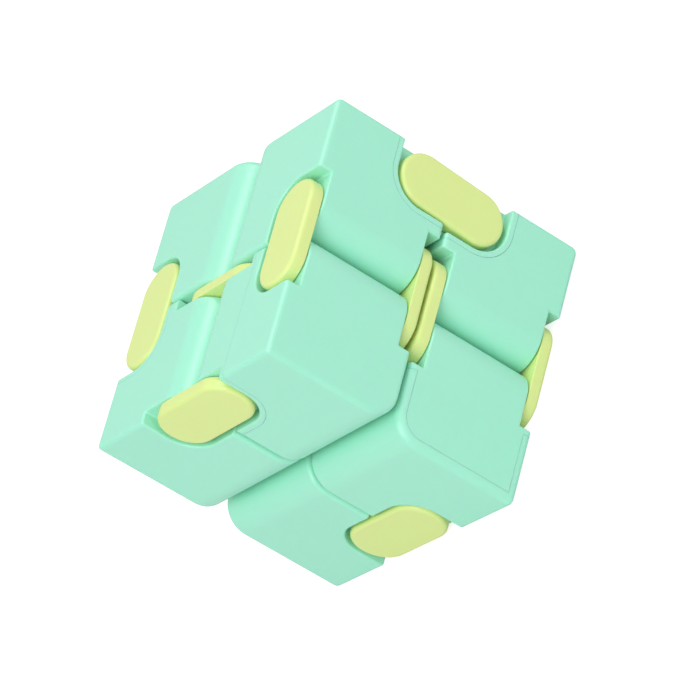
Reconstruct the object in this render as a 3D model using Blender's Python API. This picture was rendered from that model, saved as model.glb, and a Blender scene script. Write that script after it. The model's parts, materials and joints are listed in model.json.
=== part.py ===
"""Folding ring cube, a desk toy.

Eight hollow cubelets stand in two layers of four. Eight double hinges join them edge to edge into
one closed ring. A hinge is a pair of round-ended link plates, one at each end of the hinge line,
and every plate turns on one pin in each of its two cubelets. Each cubelet is a shell closed by a
snap-in cover.

Frame: +Z up, origin on the table under the middle of the whole object. The -Y side is the front.
The lower layer stands square to the axes. The upper layer sits slightly askew on its loose links.
"""

import math

import bmesh
import bpy
from mathutils import Matrix, Vector

MM = 0.001

# Cubelet
PITCH = 20.0 * MM                 # distance between neighbouring cubelet centres
GAP = 0.3 * MM                    # free play left between two solids
SIDE = PITCH - GAP                # outside size of one cubelet
HALF = SIDE / 2
WALL = 1.6 * MM
COVER_INSET = 1.25 * MM           # rim of the shell left around the cover

# Hinge
PIN_INSET = 4.15 * MM             # pin centre to each of the two outside faces, also the edge radius
PLATE_RADIUS = 3.95 * MM
PLATE_THICKNESS = 1.75 * MM
POCKET_DEPTH = 2.0 * MM
POCKET_CLEARANCE = 0.6 * MM       # pocket wall to plate edge
PIN_RADIUS = 1.2 * MM
HOLE_RADIUS = PIN_RADIUS + GAP
HEAD_RADIUS = 1.9 * MM
HEAD_THICKNESS = 1.0 * MM
COVER_LIP = 0.9 * MM              # cover left around its own pockets
BACKING = 2.2 * MM                # solid kept around every pocket, inside the cubelet

# How the upper layer sits on the lower one
UPPER_TWIST = math.radians(1.1)
UPPER_SHIFT = Vector((0.33, 0.09, 0.25)) * MM
BLOCK_CENTRE = Vector((-0.33, 0.28, 0.0)) * MM    # centres the whole footprint on the origin

# Facets
ARC_STEPS = 6                     # segments in a quarter turn
CAVITY_STEPS = 2                  # the same on the hidden inside of a cubelet
ROUND_STEPS = 16                  # segments in a full pin or hole
OVERSHOOT = 1.0 * MM              # how far a cutter runs past the surface it cuts
TOUCH = 0.001 * MM                # points closer than this are in one place
FLAT_ANGLE = math.radians(1)      # faces closer than this are one flat face
SMOOTH_ANGLE = math.radians(30)   # edges sharper than this stay sharp when shaded

MINT = (0.39, 0.86, 0.66, 1.0)
YELLOW = (0.75, 0.86, 0.32, 1.0)
ROUGHNESS = 0.38

X, Y, Z = Vector((1, 0, 0)), Vector((0, 1, 0)), Vector((0, 0, 1))

# Every cubelet is one moulding turned or mirrored into place. In the moulding's own axes p, q, r,
# hinge 1 runs along p on the (-q, -r) edge, hinge 2 along q on the (+p, +r) edge, and the free
# rounded edge along r at (-p, +q). The cover closes the -r side.
# letter: (centre in half pitches, p, q, r)
CUBELETS = {
    "a": ((1, -1, 3), -Y, Z, -X),
    "b": ((1, 1, 3), Y, Z, -X),
    "c": ((-1, -1, 3), X, -Z, -Y),
    "d": ((-1, 1, 3), Z, -X, -Y),
    "e": ((1, -1, 1), -Y, -Z, -X),
    "f": ((-1, -1, 1), -Z, -X, Y),
    "g": ((-1, 1, 1), -Z, -X, -Y),
    "h": ((1, 1, 1), Y, -Z, -X),
}
UPPER = "abcd"

# Hinges: name, first and second cubelet, direction from the first to the second, and the
# direction in which the hinge line lies from the middle of their shared face.
HINGES = {
    "ae": ("e", "a", Z, X),
    "ac": ("a", "c", -X, -Y),
    "cd": ("c", "d", Y, Z),
    "bd": ("d", "b", X, Y),
    "ef": ("e", "f", -X, -Y),
    "fg": ("f", "g", Y, -Z),
    "gh": ("g", "h", X, Y),
    "bh": ("h", "b", Z, X),
}
# The toy folds in two steps that are jointed here: the book fold on hinges ae and bh, then the long
# fold on cd and fg. In both, two cubelets and the links between them stay one rigid group.
GROUPS = {
    "lower_front_pair": ("e", "f", "ef"),
    "upper_front_pair": ("a", "c", "ac"),
    "upper_rear_pair": ("d", "b", "bd"),
    "lower_rear_pair": ("h", "g", "gh"),
}
# Chain of bodies, child: (parent, hinge, cubelet whose pin the child turns on). The ring has to be
# open somewhere: the links of hinge fg lie in cubelet g's pockets without pins.
PARENTS = {
    "link_ae": ("lower_front_pair", "ae", "e"),
    "upper_front_pair": ("link_ae", "ae", "a"),
    "link_cd": ("upper_front_pair", "cd", "c"),
    "upper_rear_pair": ("link_cd", "cd", "d"),
    "link_bh": ("upper_rear_pair", "bh", "b"),
    "lower_rear_pair": ("link_bh", "bh", "h"),
    "link_fg": ("lower_front_pair", "fg", "f"),
}
OPEN_PIVOT = ("fg", "g")
# The askew layers don't quite meet again after both folds. The links of hinge fg therefore turn
# about a line this far off their pin's centre, well within its play in the hole.
OPEN_LINK_PLAY = {"link_fg": Vector((0, 0.125, -0.125)) * MM}
END_NAMES = {"X": ("left", "right"), "Y": ("front", "rear"), "Z": ("lower", "upper")}


def layer_matrix(letter):
    """Placement of the layer that a cubelet belongs to."""
    base = Matrix.Translation(BLOCK_CENTRE - Vector((0, 0, GAP / 2)))
    if letter not in UPPER:
        return base
    corner = Matrix.Translation(X * PITCH)
    turn = corner @ Matrix.Rotation(UPPER_TWIST, 4, "Z") @ corner.inverted()
    return base @ Matrix.Translation(UPPER_SHIFT) @ turn


def cubelet_centre(letter):
    return layer_matrix(letter) @ (Vector(CUBELETS[letter][0]) * (PITCH / 2))


def pivot_point(hinge, letter):
    """Middle of the pin line that a cubelet has on a hinge."""
    first, second, across, outward = HINGES[hinge]
    towards = across if letter == first else -across
    reach = HALF - PIN_INSET
    return cubelet_centre(letter) + layer_matrix(letter).to_3x3() @ ((towards + outward) * reach)


def pivot_axis(hinge, letter):
    """Axis about which the second cubelet opens away from the first."""
    _first, _second, across, outward = HINGES[hinge]
    return (layer_matrix(letter).to_3x3() @ across.cross(outward)).normalized()


def link_matrix(hinge):
    """Frame of a hinge's links: x from the first pin to the second, z along the pins."""
    first, second, _across, _outward = HINGES[hinge]
    start, end = pivot_point(hinge, first), pivot_point(hinge, second)
    x_axis = (end - start).normalized()
    mean = pivot_axis(hinge, first) + pivot_axis(hinge, second)
    z_axis = (mean - x_axis * mean.dot(x_axis)).normalized()
    frame = Matrix((x_axis, z_axis.cross(x_axis), z_axis)).transposed().to_4x4()
    return Matrix.Translation((start + end) / 2) @ frame


def add_object(name, bm, collection):
    mesh = bpy.data.meshes.new(name)
    bm.to_mesh(mesh)
    bm.free()
    obj = bpy.data.objects.new(name, mesh)
    collection.objects.link(obj)
    return obj


def box(low, high):
    """A box as a bmesh, from its low corner to its high corner."""
    low, high = Vector(low), Vector(high)
    bm = bmesh.new()
    bmesh.ops.create_cube(bm, size=1.0)
    bmesh.ops.scale(bm, vec=high - low, verts=bm.verts)
    bmesh.ops.translate(bm, vec=(low + high) / 2, verts=bm.verts)
    return bm


def round_edge(bm, axis, signs, radius, steps):
    """Round the box edge along one axis. The signs give the side of the edge on the other two."""
    others = [i for i in range(3) if i != axis]
    corner = {i: (max if sign > 0 else min)(v.co[i] for v in bm.verts)
              for i, sign in zip(others, signs)}
    edges = [edge for edge in bm.edges
             if all(abs(v.co[i] - corner[i]) < TOUCH for v in edge.verts for i in others)]
    bmesh.ops.bevel(bm, geom=edges, offset=radius, segments=steps, profile=0.5, affect="EDGES",
                    clamp_overlap=False)


def rounded_block(half, radius, steps):
    """A cube with the cubelet's three rounded edges, one along each axis."""
    bm = box((-half, -half, -half), (half, half, half))
    round_edge(bm, 0, (-1, -1), radius, steps)
    round_edge(bm, 1, (1, 1), radius, steps)
    round_edge(bm, 2, (-1, 1), radius, steps)
    return bm


def corner_box(axis, corner, end, reach, depth, radius):
    """A block at one end of a hinge edge, its inner edge rounded about the pin.

    axis is the hinge direction, corner holds the signs of the edge on the other two axes, and end
    is the sign of the end. An end of 0 gives a block along the whole edge.
    """
    low, high = [0.0] * 3, [0.0] * 3
    others = [i for i in range(3) if i != axis]
    for i, sign in zip(others, corner):
        near, far = sign * (HALF + OVERSHOOT), sign * (HALF - reach)
        low[i], high[i] = min(near, far), max(near, far)
    near = end * (HALF + OVERSHOOT) if end else -HALF - OVERSHOOT
    far = end * (HALF - depth) if end else HALF + OVERSHOOT
    low[axis], high[axis] = min(near, far), max(near, far)
    bm = box(low, high)
    if radius:
        round_edge(bm, axis, [-s for s in corner], radius, ARC_STEPS)
    return bm


def rod(axis, centre, radius, length):
    bm = bmesh.new()
    bmesh.ops.create_cone(bm, cap_ends=True, segments=ROUND_STEPS, radius1=radius, radius2=radius,
                          depth=length)
    turn = Z.rotation_difference((X, Y, Z)[axis]).to_matrix()
    bmesh.ops.rotate(bm, matrix=turn, verts=bm.verts)
    bmesh.ops.translate(bm, vec=centre, verts=bm.verts)
    return bm


def combine(target, operation, cutters):
    """Apply one exact Boolean of the target with each cutter in turn, and drop the cutters."""
    for cutter in cutters:
        modifier = target.modifiers.new(operation.lower(), "BOOLEAN")
        modifier.operation = operation
        modifier.solver = "EXACT"
        modifier.object = cutter
    depsgraph = bpy.context.evaluated_depsgraph_get()
    mesh = bpy.data.meshes.new_from_object(target.evaluated_get(depsgraph))
    target.modifiers.clear()
    target.data = mesh
    for cutter in cutters:
        bpy.data.objects.remove(cutter)


HINGE_EDGES = ((0, (-1, -1)), (1, (1, 1)))    # axis and side of the two hinges of the moulding


def moulding(cutter_collection):
    """The whole cubelet before it is split into shell and cover."""
    inner = HALF - WALL
    cavity_radius = PIN_INSET - WALL
    cavity = add_object("cavity", rounded_block(inner, cavity_radius, CAVITY_STEPS), cutter_collection)
    pockets, backings, holes = [], [], []
    pocket_radius = PLATE_RADIUS + POCKET_CLEARANCE
    reach = PIN_INSET + pocket_radius
    for axis, corner in HINGE_EDGES:
        for end in (-1, 1):
            pocket = corner_box(axis, corner, end, reach, POCKET_DEPTH, pocket_radius)
            pockets.append(add_object("pocket", pocket, cutter_collection))
            backing = corner_box(axis, corner, end, reach + BACKING, POCKET_DEPTH + WALL, 0)
            backings.append(add_object("backing", backing, cutter_collection))
        centre = [0.0] * 3
        for i, sign in zip([i for i in range(3) if i != axis], corner):
            centre[i] = sign * (HALF - PIN_INSET)
        hole = rod(axis, centre, HOLE_RADIUS, SIDE)
        holes.append(add_object("pin_hole", hole, cutter_collection))
    combine(cavity, "DIFFERENCE", backings)
    body = add_object("body", rounded_block(HALF, PIN_INSET, ARC_STEPS), cutter_collection)
    combine(body, "DIFFERENCE", [cavity, *pockets, *holes])
    return body


def cover_region(offset, cutter_collection):
    """The space that the cover fills, grown by offset on its inner sides."""
    reach = PIN_INSET + PLATE_RADIUS + POCKET_CLEARANCE + COVER_LIP + offset
    hinge_block = corner_box(0, (-1, -1), 0, reach, 0, reach - PIN_INSET)
    outside = HALF + OVERSHOOT
    rim = HALF - COVER_INSET + offset
    lid = box((-rim, -outside, -outside), (rim, rim, -HALF + WALL + offset))
    round_edge(lid, 2, (-1, 1), PIN_INSET - COVER_INSET + offset, ARC_STEPS)
    region = add_object("cover_region", hinge_block, cutter_collection)
    combine(region, "UNION", [add_object("lid", lid, cutter_collection)])
    return region


def link_name(hinge, end):
    """A link is called after its hinge and the side of the toy that its end of the hinge faces."""
    axis = pivot_axis(hinge, HINGES[hinge][0])
    letter = max("XYZ", key=lambda k: abs(axis["XYZ".index(k)]))
    towards_high = axis["XYZ".index(letter)] * end > 0
    return f"link_{hinge}_{END_NAMES[letter][towards_high]}"


def make_link(name, hinge, end, material, collection):
    """A round-ended plate with a headed pin under each end, in the hinge's own frame."""
    first, second, _across, _outward = HINGES[hinge]
    spacing = (pivot_point(hinge, second) - pivot_point(hinge, first)).length
    bm = bmesh.new()
    places = {first: -X * spacing / 2, second: X * spacing / 2}
    plate_middle = end * (HALF - PLATE_THICKNESS / 2)
    for place in places.values():
        disc = bmesh.ops.create_cone(bm, cap_ends=False, segments=4 * ARC_STEPS,
                                     radius1=PLATE_RADIUS, radius2=PLATE_RADIUS,
                                     depth=PLATE_THICKNESS)
        bmesh.ops.translate(bm, vec=place + Z * plate_middle, verts=disc["verts"])
    bmesh.ops.delete(bm, geom=list(bm.edges), context="EDGES_FACES")
    hull = bmesh.ops.convex_hull(bm, input=list(bm.verts))
    bmesh.ops.delete(bm, geom=hull["geom_interior"], context="VERTS")
    bmesh.ops.dissolve_limit(bm, angle_limit=FLAT_ANGLE, verts=bm.verts, edges=bm.edges)
    link = add_object(name, bm, collection)
    head_top = HALF - POCKET_DEPTH - WALL - GAP
    pin_top = HALF - PLATE_THICKNESS / 2
    pin_low = head_top - HEAD_THICKNESS / 2
    pieces = []
    for letter, place in places.items():
        if (hinge, letter) == OPEN_PIVOT:
            continue
        pin = rod(2, place + Z * end * (pin_low + pin_top) / 2, PIN_RADIUS, pin_top - pin_low)
        head = rod(2, place + Z * end * (head_top - HEAD_THICKNESS / 2), HEAD_RADIUS, HEAD_THICKNESS)
        pieces.append(add_object("pin", pin, collection))
        pieces.append(add_object("head", head, collection))
    combine(link, "UNION", pieces)
    link.data.materials.clear()
    link.data.materials.append(material)
    link.matrix_world = link_matrix(hinge)
    return link


def copy_placed(source, name, letter, material, collection):
    """Turn or mirror the moulding into a cubelet's place."""
    _place, p_axis, q_axis, r_axis = CUBELETS[letter]
    turn = Matrix((p_axis, q_axis, r_axis)).transposed()
    mesh = source.data.copy()
    mesh.name = name
    mesh.transform(turn.to_4x4())
    if turn.determinant() < 0:
        mesh.flip_normals()
    mesh.materials.clear()
    mesh.materials.append(material)
    obj = bpy.data.objects.new(name, mesh)
    collection.objects.link(obj)
    obj.matrix_world = Matrix.Translation(cubelet_centre(letter)) @ layer_matrix(letter).to_3x3().to_4x4()
    return obj


def plastic(name, colour):
    material = bpy.data.materials.new(name)
    material.use_nodes = True
    shader = material.node_tree.nodes["Principled BSDF"]
    shader.inputs["Base Color"].default_value = colour
    shader.inputs["Roughness"].default_value = ROUGHNESS
    shader.inputs["Metallic"].default_value = 0.0
    return material


def shade(obj):
    obj.data.shade_smooth()
    obj.data.set_sharp_from_angle(angle=SMOOTH_ANGLE)


def body_origin(body):
    """World point of the pivot that a body turns on, or the centre of the root's first cubelet."""
    if body not in PARENTS:
        return cubelet_centre(GROUPS[body][0])
    _parent, hinge, letter = PARENTS[body]
    return pivot_point(hinge, letter) + OPEN_LINK_PLAY.get(body, Vector())


def add_pivots(collection, pieces):
    """One empty on each body's pivot, chained parent to child, carrying that body's pieces."""
    empties = {}
    for body in pieces:
        empty = bpy.data.objects.new(f"pivot_{body}", None)
        empty.empty_display_size = PIN_INSET
        empty.matrix_world = Matrix.Translation(body_origin(body))
        collection.objects.link(empty)
        empties[body] = empty
    bpy.context.view_layer.update()
    carried = [(empties[body], empties[PARENTS[body][0]]) for body in pieces if body in PARENTS]
    carried += [(obj, empties[body]) for body, members in pieces.items() for obj in members]
    places = {obj: obj.matrix_world.copy() for obj, _parent in carried}
    for obj, parent in carried:
        obj.parent = parent
        obj.matrix_parent_inverse = places.get(parent, parent.matrix_world).inverted()
        obj.matrix_basis = places[obj]


def main():
    for obj in list(bpy.data.objects):
        bpy.data.objects.remove(obj)
    parts = bpy.data.collections.new("folding_ring_cube")
    cutters = bpy.data.collections.new("cutters")
    bpy.context.scene.collection.children.link(parts)
    bpy.context.scene.collection.children.link(cutters)
    mint = plastic("mint_plastic", MINT)
    yellow = plastic("yellow_plastic", YELLOW)

    shell = moulding(cutters)
    cover = bpy.data.objects.new("cover_body", shell.data.copy())
    cutters.objects.link(cover)
    combine(shell, "DIFFERENCE", [cover_region(GAP / 2, cutters)])
    combine(cover, "INTERSECT", [cover_region(-GAP / 2, cutters)])

    halves = {letter: [copy_placed(shell, f"shell_{letter}", letter, mint, parts),
                       copy_placed(cover, f"cover_{letter}", letter, mint, parts)]
              for letter in CUBELETS}
    links = {hinge: [make_link(link_name(hinge, end), hinge, end, yellow, parts)
                     for end in (-1, 1)]
             for hinge in HINGES}
    pieces = {group: halves[first] + halves[second] + links[hinge]
              for group, (first, second, hinge) in GROUPS.items()}
    pieces.update({body: links[body.removeprefix("link_")] for body in PARENTS if body not in GROUPS})
    for obj in (shell, cover):
        bpy.data.objects.remove(obj)
    for members in pieces.values():
        for obj in members:
            shade(obj)
    bpy.context.view_layer.update()
    add_pivots(parts, pieces)


if __name__ == "__main__":
    main()
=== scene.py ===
"""Folding ring cube: the looks of a desk toy made of eight hollow plastic cubelets.

Every cubelet is one moulding turned or mirrored into place, split into a shell and a snap-in cover.
Every hinge has a round-ended link plate at each of its two ends.
"""
import json
import math

import bmesh
import bpy
from bpy.props import FloatProperty, FloatVectorProperty, IntProperty, PointerProperty
from mathutils import Matrix, Vector


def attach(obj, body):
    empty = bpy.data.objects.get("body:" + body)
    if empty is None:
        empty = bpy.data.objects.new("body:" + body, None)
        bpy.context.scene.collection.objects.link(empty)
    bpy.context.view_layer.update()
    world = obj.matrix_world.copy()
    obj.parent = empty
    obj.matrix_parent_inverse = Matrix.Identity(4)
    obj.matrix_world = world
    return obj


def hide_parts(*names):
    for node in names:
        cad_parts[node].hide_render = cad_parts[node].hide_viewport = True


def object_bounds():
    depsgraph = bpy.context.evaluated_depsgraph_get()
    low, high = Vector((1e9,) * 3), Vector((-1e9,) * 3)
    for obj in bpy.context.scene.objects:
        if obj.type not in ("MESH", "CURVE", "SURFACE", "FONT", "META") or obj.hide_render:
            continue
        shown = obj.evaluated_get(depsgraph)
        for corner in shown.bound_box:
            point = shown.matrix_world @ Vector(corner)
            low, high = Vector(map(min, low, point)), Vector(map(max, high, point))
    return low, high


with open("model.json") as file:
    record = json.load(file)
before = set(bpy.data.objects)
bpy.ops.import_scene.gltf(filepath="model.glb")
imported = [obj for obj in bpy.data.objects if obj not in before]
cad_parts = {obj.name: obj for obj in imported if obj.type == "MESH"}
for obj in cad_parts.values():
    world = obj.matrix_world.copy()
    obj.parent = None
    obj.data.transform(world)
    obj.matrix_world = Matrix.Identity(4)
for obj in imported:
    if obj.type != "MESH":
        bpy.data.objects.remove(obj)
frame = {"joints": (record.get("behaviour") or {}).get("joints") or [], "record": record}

CAD_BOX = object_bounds()

bl_info = {
    "name": "Folding ring cube",
    "version": (1, 0, 0),
    "blender": (4, 5, 0),
    "location": "3D View > Sidebar > Ring cube",
    "description": "Builds the shells, covers and link plates of a folding ring cube, and its stage",
    "category": "Object",
}

MM = 0.001

# Sizes of the mouldings. They are the frame's own, apart from the thickness of the plates.
PITCH = 20.0 * MM                 # distance between neighbouring cubelet centres
HALF = 9.85 * MM                  # half the side of a cubelet
PIN_INSET = 4.15 * MM             # pin centre to each outside face, and radius of the hinge edges
PLATE_RADIUS = 3.95 * MM          # round end of a link plate
PLATE_THICKNESS = 1.87 * MM       # 0.12 mm more than the frame's, inward, to narrow the gap behind
POCKET_DEPTH = 2.0 * MM
POCKET_RADIUS = 4.55 * MM         # round end of the pocket that a plate lies in
PIN_RADIUS = 1.2 * MM
HOLE_RADIUS = 1.5 * MM            # hole in the cubelet for a pin
HEAD_RADIUS = 1.9 * MM            # head of a pin, inside the cubelet
HEAD_THICKNESS = 1.0 * MM
HEAD_GAP = 0.3 * MM               # between a pin's head and the wall that it holds
COVER_LIP = 0.9 * MM              # edge of a pocket to the seam around it
COVER_INSET = 1.25 * MM           # outside face to the seam along it
WALL = 1.6 * MM                   # thickness of the cubelets' walls
BACKING = 2.2 * MM                # solid left beside a pocket
OVERSHOOT = 1.0 * MM              # how far a cutter runs past the surface it cuts

# Fineness of the meshes, and the angles between faces that the helpers tell apart
TOUCH = 0.001 * MM                # points closer than this are in one place
WELD = 0.002 * MM                 # points closer than this are joined before edges are rounded
FLAT_ANGLE = math.radians(0.5)    # faces that turn less than this are merged before rounding
PLATE_FLAT_ANGLE = math.radians(1)    # the same on the outline of a plate
ROUNDED_ANGLE = math.radians(35)  # edges sharper than this are rounded
CREASE_ANGLE = math.radians(32)   # edges sharper than this stay creased in the shading
NORMAL_WEIGHT = 80                # pull of the large faces on the shading beside them
ROD_STEPS = 32                    # segments in a full pin or hole
CAVITY_STEPS = 4                  # segments in a quarter turn of the hidden inside
PLATE_EDGE_STEPS = 6              # segments across the rounded edge of a plate

X, Y, Z = Vector((1, 0, 0)), Vector((0, 1, 0)), Vector((0, 0, 1))

# letter: centre in half pitches, and the moulding's axes p, q, r as it stands. Hinge 1 runs along
# p on the (-q, -r) edge, hinge 2 along q on the (+p, +r) edge, and the free rounded edge along r
# at (-p, +q). The cover is on the -r side.
CUBELETS = {
    "a": ((1, -1, 3), (-Y, Z, -X)),
    "b": ((1, 1, 3), (Y, Z, -X)),
    "c": ((-1, -1, 3), (X, -Z, -Y)),
    "d": ((-1, 1, 3), (Z, -X, -Y)),
    "e": ((1, -1, 1), (-Y, -Z, -X)),
    "f": ((-1, -1, 1), (-Z, -X, Y)),
    "g": ((-1, 1, 1), (-Z, -X, -Y)),
    "h": ((1, 1, 1), (Y, -Z, -X)),
}
UPPER = "abcd"
# The joint on which each layer is placed, the cubelet whose pin it is, and the pin's direction
# from that cubelet's centre.
UPPER_ANCHOR = ("book_ae_upper_pin", "a", X - Z)
LOWER_ANCHOR = ("book_fold", "e", X + Z)

# hinge: first and second cubelet, direction from first to second, side of the hinge line, and the
# names of its plates towards the start and the end of the hinge axis
HINGES = {
    "ae": ("e", "a", Z, X, ("front", "rear")),
    "ac": ("a", "c", -X, -Y, ("lower", "upper")),
    "cd": ("c", "d", Y, Z, ("left", "right")),
    "bd": ("d", "b", X, Y, ("lower", "upper")),
    "ef": ("e", "f", -X, -Y, ("lower", "upper")),
    "fg": ("f", "g", Y, -Z, ("right", "left")),
    "gh": ("g", "h", X, Y, ("lower", "upper")),
    "bh": ("h", "b", Z, X, ("front", "rear")),
}
OPEN_PIVOT = ("fg", "g")                       # a link has no pin here, so that the ring can open
HINGE_EDGES = ((0, (-1, -1)), (1, (1, 1)))    # axis and side of the two hinges of the moulding
FREE_EDGE = (2, (-1, 1))                      # axis and side of the rounded edge without a hinge

OUTSIDE, POCKET = 0, 1                        # kinds of face on a moulding

# Gloss of the two plastics, and fineness of the grain on both
MINT_ROUGHNESS = 0.36
YELLOW_ROUGHNESS = 0.38
GRAIN_SCALE = 2600.0

# Where the lights stand, seen from the toy
KEY_DIRECTION = Vector((-0.60, -0.45, 0.66))
EDGE_DIRECTION = Vector((0.51, -0.40, 0.76))   # mirrored by the rounded front edges
LIGHT_DISTANCE = 0.7

FLOOR_REACH = 3.0                 # from the toy to the floor's edges
FLOOR_CELLS = 8
FLOOR_MOTTLE = 14.0               # scale of the unevenness in the floor's grey
SENSOR_WIDTH = 36.0               # in millimetres, as the lens is
CLIP_START = 10 * MM


# ---------------------------------------------------------------- settings

class MouldingSettings(bpy.types.PropertyGroup):
    edge_radius: FloatProperty(
        name="Edge radius", description="Rounding of the plain outside edges of a cubelet",
        default=0.7 * MM, unit="LENGTH", precision=5)
    cover_edge_radius: FloatProperty(
        name="Cover edge radius", description="Rounding of the outside edges around the cover",
        default=1.05 * MM, unit="LENGTH", precision=5)
    pocket_edge_radius: FloatProperty(
        name="Pocket edge radius", description="Rounding of the rims of the hinge pockets",
        default=0.3 * MM, unit="LENGTH", precision=5)
    seam: FloatProperty(
        name="Seam", description="Width of the joint between a shell and its cover",
        default=0.045 * MM, unit="LENGTH", precision=5)
    arc_steps: IntProperty(
        name="Arc steps", description="Segments in a quarter turn of a hinge edge", default=20)
    edge_steps: IntProperty(
        name="Edge steps", description="Segments across a rounded edge", default=5)


class LinkSettings(bpy.types.PropertyGroup):
    edge_radius: FloatProperty(
        name="Edge radius", description="Rounding around the outer face of a link plate",
        default=0.6 * MM, unit="LENGTH", precision=5)
    inner_edge_radius: FloatProperty(
        name="Inner edge radius", description="Rounding around the face that lies in the pockets",
        default=0.1 * MM, unit="LENGTH", precision=5)
    arc_steps: IntProperty(
        name="Arc steps", description="Segments in a quarter turn of a plate's end", default=20)


class FinishSettings(bpy.types.PropertyGroup):
    mint: FloatVectorProperty(
        name="Mint", description="Colour of the cubelets", subtype="COLOR", size=3,
        min=0.0, max=1.0, default=(0.365, 0.835, 0.635))
    yellow: FloatVectorProperty(
        name="Yellow", description="Colour of the link plates", subtype="COLOR", size=3,
        min=0.0, max=1.0, default=(0.715, 0.84, 0.30))


class StageSettings(bpy.types.PropertyGroup):
    azimuth: FloatProperty(
        name="Azimuth", description="Camera direction around the toy, 0 looks at the front",
        default=math.radians(-33.828), subtype="ANGLE")
    elevation: FloatProperty(
        name="Elevation", description="Camera height above the horizon",
        default=math.radians(23.481), subtype="ANGLE")
    roll: FloatProperty(
        name="Roll", description="Turn of the camera about its own line of sight",
        default=math.radians(59.269), subtype="ANGLE")
    distance: FloatProperty(
        name="Distance", description="Camera to the point it looks at",
        default=576.9 * MM, unit="LENGTH")
    target: FloatVectorProperty(
        name="Target", description="Point that the camera looks at",
        default=(0.07 * MM, -0.62 * MM, 18.63 * MM), subtype="TRANSLATION", size=3)
    lens: FloatProperty(
        name="Lens", description="Focal length in millimetres on a 36 mm sensor", default=227.8)
    key_power: FloatProperty(
        name="Key light", description="Power of the large soft light at the front left",
        default=2.17, unit="POWER")
    key_size: FloatProperty(
        name="Key size", description="Width of the key light", default=0.45, unit="LENGTH")
    edge_power: FloatProperty(
        name="Edge light", description="Power of the light that the rounded edges mirror",
        default=0.97, unit="POWER")
    edge_size: FloatProperty(
        name="Edge light size", description="Width of the edge light", default=0.2, unit="LENGTH")
    ambient: FloatProperty(
        name="Ambient", description="Brightness of the white surroundings", default=0.66)


def settings():
    return bpy.context.scene.ring_cube


# ---------------------------------------------------------------- places in the frame

def joint_called(name):
    return next(joint for joint in frame["joints"] if joint["name"] == name)


def anchor(letter):
    return UPPER_ANCHOR if letter in UPPER else LOWER_ANCHOR


def layer_turn(letter):
    """The upper layer sits slightly twisted on its loose links. Its hinge axis says by how much."""
    joint = joint_called(anchor(letter)[0])
    return Y.rotation_difference(Vector(joint["axis"])).to_matrix()


def cubelet_centre(letter):
    name, first, side = anchor(letter)
    steps = Vector(CUBELETS[letter][0]) - Vector(CUBELETS[first][0])
    offset = steps * PITCH / 2 - side * (HALF - PIN_INSET)
    return Vector(joint_called(name)["pos_m"]) + layer_turn(letter) @ offset


def body_of(node):
    return next(body for body, nodes in frame["record"]["behaviour"]["bodies"].items()
                if node in nodes)


def pin_point(hinge, letter):
    first, _second, across, outward, _ends = HINGES[hinge]
    towards = across if letter == first else -across
    return cubelet_centre(letter) + layer_turn(letter) @ (towards + outward) * (HALF - PIN_INSET)


def hinge_axis(hinge, letter):
    _first, _second, across, outward, _ends = HINGES[hinge]
    return layer_turn(letter) @ across.cross(outward)


def link_matrix(hinge):
    """Frame of a hinge's plates: x from the first pin to the second, z along the pins."""
    first, second = HINGES[hinge][:2]
    start, end = pin_point(hinge, first), pin_point(hinge, second)
    x_axis = (end - start).normalized()
    mean = hinge_axis(hinge, first) + hinge_axis(hinge, second)
    z_axis = (mean - x_axis * mean.dot(x_axis)).normalized()
    turn = Matrix((x_axis, z_axis.cross(x_axis), z_axis)).transposed().to_4x4()
    return Matrix.Translation((start + end) / 2) @ turn


# ---------------------------------------------------------------- mesh helpers

def new_object(name, bm, kind=OUTSIDE):
    """Make an object of a mesh whose faces are all of one kind, kept as their material slot."""
    for face in bm.faces:
        face.material_index = kind
    mesh = bpy.data.meshes.new(name)
    bm.to_mesh(mesh)
    bm.free()
    for _kind in (OUTSIDE, POCKET):
        mesh.materials.append(None)
    obj = bpy.data.objects.new(name, mesh)
    bpy.context.scene.collection.objects.link(obj)
    return obj


def box(low, high):
    low, high = Vector(low), Vector(high)
    bm = bmesh.new()
    bmesh.ops.create_cube(bm, size=1.0)
    bmesh.ops.scale(bm, vec=high - low, verts=bm.verts)
    bmesh.ops.translate(bm, vec=(low + high) / 2, verts=bm.verts)
    return bm


def round_edge(bm, axis, signs, radius, steps):
    """Round the box edge along one axis, on the side that the signs give."""
    others = [i for i in range(3) if i != axis]
    corner = {i: (max if sign > 0 else min)(v.co[i] for v in bm.verts)
              for i, sign in zip(others, signs)}
    edges = [edge for edge in bm.edges
             if all(abs(v.co[i] - corner[i]) < TOUCH for v in edge.verts for i in others)]
    bmesh.ops.bevel(bm, geom=edges, offset=radius, segments=steps, profile=0.5, affect="EDGES",
                    clamp_overlap=False)


def rounded_block(half, radius, steps):
    """A cube with its two hinge edges and its free edge rounded."""
    bm = box((-half, -half, -half), (half, half, half))
    for axis, signs in (*HINGE_EDGES, FREE_EDGE):
        round_edge(bm, axis, signs, radius, steps)
    return bm


def corner_box(axis, corner, end, reach, depth, radius, steps):
    """A block at one end of a hinge edge, or along it all when end is 0."""
    low, high = [0.0] * 3, [0.0] * 3
    others = [i for i in range(3) if i != axis]
    for i, sign in zip(others, corner):
        near, far = sign * (HALF + OVERSHOOT), sign * (HALF - reach)
        low[i], high[i] = min(near, far), max(near, far)
    near = end * (HALF + OVERSHOOT) if end else -HALF - OVERSHOOT
    far = end * (HALF - depth) if end else HALF + OVERSHOOT
    low[axis], high[axis] = min(near, far), max(near, far)
    bm = box(low, high)
    if radius:
        round_edge(bm, axis, [-s for s in corner], radius, steps)
    return bm


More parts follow.
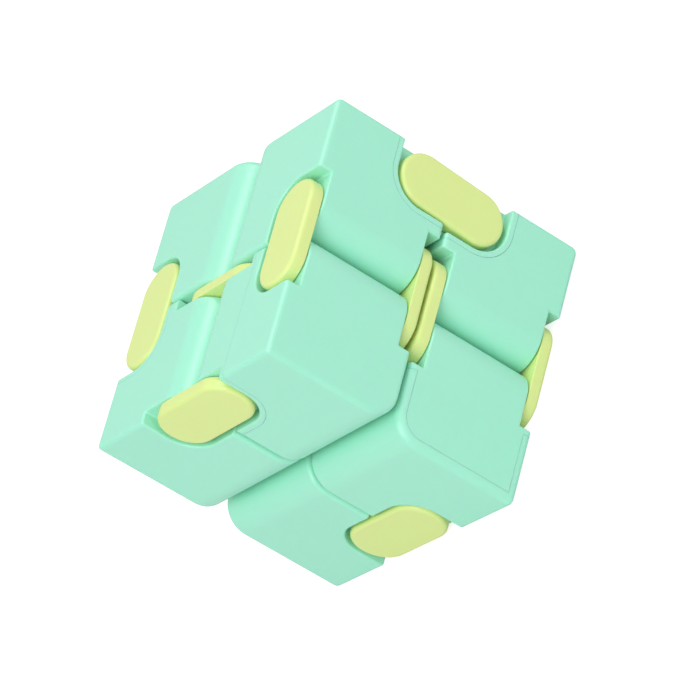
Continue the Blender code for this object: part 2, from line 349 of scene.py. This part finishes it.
def rod(axis, centre, radius, length):
    bm = bmesh.new()
    bmesh.ops.create_cone(bm, cap_ends=True, segments=ROD_STEPS, radius1=radius, radius2=radius,
                          depth=length)
    bmesh.ops.rotate(bm, matrix=Z.rotation_difference((X, Y, Z)[axis]).to_matrix(), verts=bm.verts)
    bmesh.ops.translate(bm, vec=centre, verts=bm.verts)
    return bm


def apply_modifiers(obj):
    depsgraph = bpy.context.evaluated_depsgraph_get()
    mesh = bpy.data.meshes.new_from_object(obj.evaluated_get(depsgraph))
    obj.modifiers.clear()
    obj.data = mesh


def combine(target, operation, cutters):
    """Join, cut or intersect an object with others, which are used up."""
    for cutter in cutters:
        modifier = target.modifiers.new(operation.lower(), "BOOLEAN")
        modifier.operation = operation
        modifier.solver = "EXACT"
        modifier.object = cutter
    apply_modifiers(target)
    for cutter in cutters:
        bpy.data.objects.remove(cutter)


def soften(obj, radius_of, steps):
    """Round every sharp edge by the radius that radius_of gives for it, zero leaving it sharp."""
    bm = bmesh.new()
    bm.from_mesh(obj.data)
    bmesh.ops.remove_doubles(bm, verts=bm.verts, dist=WELD)
    bmesh.ops.dissolve_limit(bm, angle_limit=FLAT_ANGLE, verts=bm.verts, edges=bm.edges,
                             delimit={"MATERIAL"})
    weights = bm.edges.layers.float.get("bevel_weight_edge")
    weights = weights or bm.edges.layers.float.new("bevel_weight_edge")
    radii = {}
    for edge in bm.edges:
        sharp = len(edge.link_faces) == 2 and edge.calc_face_angle() > ROUNDED_ANGLE
        radii[edge] = radius_of(edge) if sharp else 0.0
    widest = max(radii.values())
    for edge, radius in radii.items():
        edge[weights] = radius / widest
    bm.to_mesh(obj.data)
    bm.free()
    bevel = obj.modifiers.new("soft_edges", "BEVEL")
    bevel.limit_method = "WEIGHT"
    bevel.width = widest
    bevel.segments = steps
    bevel.use_clamp_overlap = False
    apply_modifiers(obj)


def finish_piece(obj, name, material, node):
    """Shade a piece, give it its material, and hand it to the frame in place of a plain node."""
    obj.name = name
    obj.data.name = name
    obj.data.materials.clear()
    obj.data.materials.append(material)
    for polygon in obj.data.polygons:
        polygon.material_index = 0
    obj.data.shade_smooth()
    obj.data.set_sharp_from_angle(angle=CREASE_ANGLE)
    normals = obj.modifiers.new("even_normals", "WEIGHTED_NORMAL")
    normals.keep_sharp = True
    normals.weight = NORMAL_WEIGHT
    apply_modifiers(obj)
    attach(obj, body_of(node))
    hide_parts(node)


# ---------------------------------------------------------------- materials

def material_with_shader(name):
    """A new material with its nodes and shader, or the one of that name without them."""
    material = bpy.data.materials.get(name)
    if material:
        return material, None, None
    material = bpy.data.materials.new(name)
    material.use_nodes = True
    nodes = material.node_tree.nodes
    return material, nodes, nodes["Principled BSDF"]


def moulded_grain_group():
    """Fine spark-eroded grain of a plastic moulding, with slow unevenness in colour and gloss."""
    group = bpy.data.node_groups.get("moulded_grain")
    if group:
        return group
    group = bpy.data.node_groups.new("moulded_grain", "ShaderNodeTree")
    for name, default in (("Grain Scale", GRAIN_SCALE), ("Cloud Scale", 90.0),
                          ("Roughness", MINT_ROUGHNESS), ("Roughness Spread", 0.06),
                          ("Tint Spread", 0.03)):
        socket = group.interface.new_socket(name, in_out="INPUT", socket_type="NodeSocketFloat")
        socket.default_value = default
    colour = group.interface.new_socket("Colour", in_out="INPUT", socket_type="NodeSocketColor")
    colour.default_value = (0.8, 0.8, 0.8, 1.0)
    group.interface.new_socket("Colour", in_out="OUTPUT", socket_type="NodeSocketColor")
    group.interface.new_socket("Roughness", in_out="OUTPUT", socket_type="NodeSocketFloat")
    group.interface.new_socket("Height", in_out="OUTPUT", socket_type="NodeSocketFloat")
    nodes, links = group.nodes, group.links
    start, end = nodes.new("NodeGroupInput"), nodes.new("NodeGroupOutput")
    place = nodes.new("ShaderNodeTexCoord")

    grain = nodes.new("ShaderNodeTexNoise")
    grain.inputs["Detail"].default_value = 3.0
    grain.inputs["Roughness"].default_value = 0.6
    links.new(place.outputs["Object"], grain.inputs["Vector"])
    links.new(start.outputs["Grain Scale"], grain.inputs["Scale"])

    cloud = nodes.new("ShaderNodeTexNoise")
    cloud.inputs["Detail"].default_value = 4.0
    links.new(place.outputs["Object"], cloud.inputs["Vector"])
    links.new(start.outputs["Cloud Scale"], cloud.inputs["Scale"])

    centred = nodes.new("ShaderNodeMath")
    centred.operation = "SUBTRACT"
    centred.inputs[1].default_value = 0.5
    links.new(cloud.outputs["Fac"], centred.inputs[0])

    gloss = nodes.new("ShaderNodeMath")
    gloss.operation = "MULTIPLY_ADD"
    links.new(centred.outputs[0], gloss.inputs[0])
    links.new(start.outputs["Roughness Spread"], gloss.inputs[1])
    links.new(start.outputs["Roughness"], gloss.inputs[2])
    links.new(gloss.outputs[0], end.inputs["Roughness"])

    lightness = nodes.new("ShaderNodeMath")
    lightness.operation = "MULTIPLY_ADD"
    lightness.inputs[2].default_value = 1.0
    links.new(centred.outputs[0], lightness.inputs[0])
    links.new(start.outputs["Tint Spread"], lightness.inputs[1])
    shade = nodes.new("ShaderNodeHueSaturation")
    links.new(start.outputs["Colour"], shade.inputs["Color"])
    links.new(lightness.outputs[0], shade.inputs["Value"])
    links.new(shade.outputs["Color"], end.inputs["Colour"])

    links.new(grain.outputs["Fac"], end.inputs["Height"])
    return group


def plastic(name, colour, roughness, grain_scale):
    """Soft-looking moulded plastic that lets a little light through."""
    material, nodes, shader = material_with_shader(name)
    if nodes is None:
        return material
    links = material.node_tree.links
    grain = nodes.new("ShaderNodeGroup")
    grain.node_tree = moulded_grain_group()
    grain.inputs["Colour"].default_value = (*colour, 1.0)
    grain.inputs["Roughness"].default_value = roughness
    grain.inputs["Grain Scale"].default_value = grain_scale
    bump = nodes.new("ShaderNodeBump")
    bump.inputs["Strength"].default_value = 0.2
    bump.inputs["Distance"].default_value = 0.02 * MM
    links.new(grain.outputs["Colour"], shader.inputs["Base Color"])
    links.new(grain.outputs["Roughness"], shader.inputs["Roughness"])
    links.new(grain.outputs["Height"], bump.inputs["Height"])
    links.new(bump.outputs["Normal"], shader.inputs["Normal"])
    shader.inputs["Metallic"].default_value = 0.0
    shader.inputs["IOR"].default_value = 1.6
    shader.inputs["Subsurface Weight"].default_value = 0.35
    shader.inputs["Subsurface Radius"].default_value = (0.35, 1.0, 0.6)
    shader.inputs["Subsurface Scale"].default_value = 0.4 * MM
    return material


# ---------------------------------------------------------------- the moulding

def moulding_edge_radius(edge):
    """Pockets get the smallest rounding, and the edges around the cover the largest.

    Where the cover's side meets the +p side, the edge is rounded as a plain one is.
    """
    choice = settings().moulding
    if {face.material_index for face in edge.link_faces} != {OUTSIDE}:
        return choice.pocket_edge_radius
    beside_cover = all(v.co.z < -HALF + TOUCH for v in edge.verts)
    beside_p_side = all(v.co.x > HALF - TOUCH for v in edge.verts)
    return choice.cover_edge_radius if beside_cover and not beside_p_side else choice.edge_radius


def moulding():
    """One whole cubelet in its own axes, rounded and hollow, before it is split."""
    steps = settings().moulding.arc_steps
    body = new_object("moulding", rounded_block(HALF, PIN_INSET, steps))
    reach = PIN_INSET + POCKET_RADIUS
    pockets, backings, holes = [], [], []
    for axis, corner in HINGE_EDGES:
        centre = [0.0] * 3
        for i, sign in zip([i for i in range(3) if i != axis], corner):
            centre[i] = sign * (HALF - PIN_INSET)
        holes.append(new_object("pin_hole", rod(axis, centre, HOLE_RADIUS, 2 * HALF)))
        for end in (-1, 1):
            pocket = corner_box(axis, corner, end, reach, POCKET_DEPTH, POCKET_RADIUS, steps)
            pockets.append(new_object("pocket", pocket, POCKET))
            backing = corner_box(axis, corner, end, reach + BACKING, POCKET_DEPTH + WALL, 0, steps)
            backings.append(new_object("backing", backing))
    combine(body, "DIFFERENCE", pockets)
    soften(body, moulding_edge_radius, settings().moulding.edge_steps)
    cavity = new_object("cavity", rounded_block(HALF - WALL, PIN_INSET - WALL, CAVITY_STEPS))
    combine(cavity, "DIFFERENCE", backings)
    combine(body, "DIFFERENCE", [cavity, *holes])
    return body


def cover_region(offset):
    """The space that the cover fills, grown by offset on its inner sides."""
    steps = settings().moulding.arc_steps
    reach = PIN_INSET + POCKET_RADIUS + COVER_LIP + offset
    axis, corner = HINGE_EDGES[0]
    hinge_block = corner_box(axis, corner, 0, reach, 0, reach - PIN_INSET, steps)
    outside = HALF + OVERSHOOT
    rim = HALF - COVER_INSET + offset
    lid = box((-rim, -outside, -outside), (rim, rim, -HALF + WALL + offset))
    round_edge(lid, *FREE_EDGE, PIN_INSET - COVER_INSET + offset, steps)
    region = new_object("cover_region", hinge_block)
    combine(region, "UNION", [new_object("lid", lid)])
    return region


def placed_copy(source, letter):
    """Turn or mirror a moulding into a cubelet's place."""
    axes = CUBELETS[letter][1]
    turn = Matrix(axes).transposed()
    mesh = source.data.copy()
    mesh.transform(turn.to_4x4())
    if turn.determinant() < 0:
        mesh.flip_normals()
    obj = bpy.data.objects.new(letter, mesh)
    bpy.context.scene.collection.objects.link(obj)
    obj.matrix_world = Matrix.Translation(cubelet_centre(letter)) @ layer_turn(letter).to_4x4()
    return obj


def build_cubelet_pieces(kind, operation, offset):
    """Part the moulding at its seam, and put what is left in all eight places."""
    source = moulding()
    combine(source, operation, [cover_region(offset)])
    material = plastic("mint_plastic", settings().finish.mint, MINT_ROUGHNESS, GRAIN_SCALE)
    for letter in CUBELETS:
        piece = placed_copy(source, letter)
        finish_piece(piece, f"mint_{kind}_{letter}", material,
                     f"{kind}_{letter}")
    bpy.data.objects.remove(source)


# ---------------------------------------------------------------- link plates

def stadium(radius, spacing, low, high, steps):
    """A round-ended plate with its ends centred spacing apart, between two heights."""
    bm = bmesh.new()
    for side in (-1, 1):
        disc = bmesh.ops.create_cone(bm, cap_ends=False, segments=4 * steps, radius1=radius,
                                     radius2=radius, depth=high - low)
        bmesh.ops.translate(bm, vec=(side * spacing / 2, 0, (low + high) / 2), verts=disc["verts"])
    bmesh.ops.delete(bm, geom=list(bm.edges), context="EDGES_FACES")
    hull = bmesh.ops.convex_hull(bm, input=list(bm.verts))
    bmesh.ops.delete(bm, geom=hull["geom_interior"], context="VERTS")
    bmesh.ops.dissolve_limit(bm, angle_limit=PLATE_FLAT_ANGLE, verts=bm.verts, edges=bm.edges)
    return bm


def plate_edge_radius(edge):
    """The edge around a plate's outer face is rounded more than the one inside the pockets."""
    choice = settings().link
    outside = all(abs(v.co.z) > HALF - TOUCH for v in edge.verts)
    return choice.edge_radius if outside else choice.inner_edge_radius


def link_plate(hinge, end):
    """One plate with its pins, at the start (-1) or the end (1) of a hinge's axis."""
    first, second = HINGES[hinge][:2]
    spacing = (pin_point(hinge, second) - pin_point(hinge, first)).length
    inner, outer = HALF - PLATE_THICKNESS, HALF
    low, high = (inner, outer) if end > 0 else (-outer, -inner)
    outline = stadium(PLATE_RADIUS, spacing, low, high, settings().link.arc_steps)
    plate = new_object("plate", outline)
    soften(plate, plate_edge_radius, PLATE_EDGE_STEPS)
    head_top = HALF - POCKET_DEPTH - WALL - HEAD_GAP
    pin_low, pin_top = head_top - HEAD_THICKNESS / 2, HALF - PLATE_THICKNESS / 2
    pieces = []
    for letter, side in ((first, -1), (second, 1)):
        if (hinge, letter) == OPEN_PIVOT:
            continue
        place = X * side * spacing / 2
        pin = rod(2, place + Z * end * (pin_low + pin_top) / 2, PIN_RADIUS, pin_top - pin_low)
        head = rod(2, place + Z * end * (head_top - HEAD_THICKNESS / 2), HEAD_RADIUS,
                   HEAD_THICKNESS)
        pieces += [new_object("pin", pin), new_object("head", head)]
    combine(plate, "UNION", pieces)
    plate.matrix_world = link_matrix(hinge)
    return plate


# ---------------------------------------------------------------- stage

def add_light(name, direction, size, power, target):
    """A round soft light that faces the target."""
    data = bpy.data.lights.new(name, "AREA")
    data.shape = "DISK"
    data.size = size
    data.energy = power
    light = bpy.data.objects.new(name, data)
    bpy.context.scene.collection.objects.link(light)
    away = direction.normalized()
    light.location = target + away * LIGHT_DISTANCE
    light.rotation_euler = away.to_track_quat("Z", "Y").to_euler()


def floor_material():
    """Pale floor that looks white to the camera and throws only a dimmer light on the toy."""
    material, nodes, shader = material_with_shader("pale_floor")
    if nodes is None:
        return material
    links = material.node_tree.links
    mottle = nodes.new("ShaderNodeTexNoise")
    mottle.inputs["Scale"].default_value = FLOOR_MOTTLE
    ramp = nodes.new("ShaderNodeValToRGB")
    ramp.color_ramp.elements[0].color = (0.50, 0.50, 0.50, 1)
    ramp.color_ramp.elements[1].color = (0.52, 0.52, 0.52, 1)
    links.new(mottle.outputs["Fac"], ramp.inputs["Fac"])
    links.new(ramp.outputs["Color"], shader.inputs["Base Color"])
    shader.inputs["Roughness"].default_value = 0.9
    seen = nodes.new("ShaderNodeLightPath")
    glow = nodes.new("ShaderNodeMix")
    glow.data_type = "RGBA"
    glow.inputs["A"].default_value = (0.30, 0.30, 0.30, 1)
    glow.inputs["B"].default_value = (1, 1, 1, 1)
    links.new(seen.outputs["Is Camera Ray"], glow.inputs["Factor"])
    links.new(glow.outputs["Result"], shader.inputs["Emission Color"])
    shader.inputs["Emission Strength"].default_value = 0.75
    return material


# ---------------------------------------------------------------- operators and panel

class RINGCUBE_OT_stage(bpy.types.Operator):
    """Lay the pale floor, and set up the soft light and the camera"""
    bl_idname = "ring_cube.stage"
    bl_label = "Stage"

    def execute(self, context):
        choice = settings().stage
        scene = context.scene
        target = Vector(choice.target)
        bm = bmesh.new()
        bmesh.ops.create_grid(bm, x_segments=FLOOR_CELLS, y_segments=FLOOR_CELLS,
                              size=FLOOR_REACH)
        floor = new_object("floor", bm)
        floor.location.z = CAD_BOX[0][2]
        floor.data.materials.clear()
        floor.data.materials.append(floor_material())

        world = bpy.data.worlds.new("white_room")
        scene.world = world
        world.use_nodes = True
        background = world.node_tree.nodes["Background"]
        background.inputs["Color"].default_value = (1, 1, 1, 1)
        background.inputs["Strength"].default_value = choice.ambient
        add_light("key", KEY_DIRECTION, choice.key_size, choice.key_power, target)
        add_light("edge_light", EDGE_DIRECTION, choice.edge_size, choice.edge_power, target)

        away = Vector((math.sin(choice.azimuth) * math.cos(choice.elevation),
                       -math.cos(choice.azimuth) * math.cos(choice.elevation),
                       math.sin(choice.elevation)))
        camera_data = bpy.data.cameras.new("camera")
        camera_data.lens = choice.lens
        camera_data.sensor_width = SENSOR_WIDTH
        camera_data.clip_start = CLIP_START
        camera = bpy.data.objects.new("camera", camera_data)
        scene.collection.objects.link(camera)
        level = away.to_track_quat("Z", "Y").to_matrix()
        rolled = level @ Matrix.Rotation(-choice.roll, 3, "Z")
        camera.matrix_world = Matrix.Translation(target + away * choice.distance) @ rolled.to_4x4()
        scene.camera = camera
        scene.view_settings.view_transform = "Standard"
        return {"FINISHED"}


class RINGCUBE_OT_shells(bpy.types.Operator):
    """Mould the eight hollow shells"""
    bl_idname = "ring_cube.shells"
    bl_label = "Shells"

    def execute(self, context):
        build_cubelet_pieces("shell", "DIFFERENCE", settings().moulding.seam / 2)
        return {"FINISHED"}


class RINGCUBE_OT_covers(bpy.types.Operator):
    """Mould the eight snap-in covers"""
    bl_idname = "ring_cube.covers"
    bl_label = "Covers"

    def execute(self, context):
        build_cubelet_pieces("cover", "INTERSECT", -settings().moulding.seam / 2)
        return {"FINISHED"}


class RINGCUBE_OT_links(bpy.types.Operator):
    """Mould the sixteen link plates with their pins"""
    bl_idname = "ring_cube.links"
    bl_label = "Link plates"

    def execute(self, context):
        material = plastic("yellow_plastic", settings().finish.yellow, YELLOW_ROUGHNESS,
                           GRAIN_SCALE)
        for hinge, (_first, _second, _across, _outward, ends) in HINGES.items():
            for end, end_name in zip((-1, 1), ends):
                node = f"link_{hinge}_{end_name}"
                finish_piece(link_plate(hinge, end), f"yellow_{node}", material,
                             node)
        return {"FINISHED"}


class RingCubeSettings(bpy.types.PropertyGroup):
    moulding: PointerProperty(type=MouldingSettings)
    link: PointerProperty(type=LinkSettings)
    finish: PointerProperty(type=FinishSettings)
    stage: PointerProperty(type=StageSettings)


class RINGCUBE_PT_panel(bpy.types.Panel):
    """Sizes, colours and pieces of the folding ring cube"""
    bl_idname = "RINGCUBE_PT_panel"
    bl_label = "Ring cube"
    bl_space_type = "VIEW_3D"
    bl_region_type = "UI"
    bl_category = "Ring cube"

    def draw(self, context):
        choice = context.scene.ring_cube
        for name in ("moulding", "link", "finish", "stage"):
            group = getattr(choice, name)
            column = self.layout.column(align=True)
            for key in group.__annotations__:
                column.prop(group, key)
        for operator in OPERATORS:
            self.layout.operator(operator.bl_idname)


OPERATORS = (RINGCUBE_OT_stage, RINGCUBE_OT_shells, RINGCUBE_OT_covers, RINGCUBE_OT_links)
CLASSES = (MouldingSettings, LinkSettings, FinishSettings, StageSettings, RingCubeSettings,
           *OPERATORS, RINGCUBE_PT_panel)


def register():
    for cls in CLASSES:
        bpy.utils.register_class(cls)
    bpy.types.Scene.ring_cube = PointerProperty(type=RingCubeSettings)


def unregister():
    del bpy.types.Scene.ring_cube
    for cls in reversed(CLASSES):
        bpy.utils.unregister_class(cls)


def main():
    register()
    bpy.ops.ring_cube.stage()
    bpy.ops.ring_cube.shells()
    bpy.ops.ring_cube.covers()
    bpy.ops.ring_cube.links()


if __name__ == "__main__":
    main()
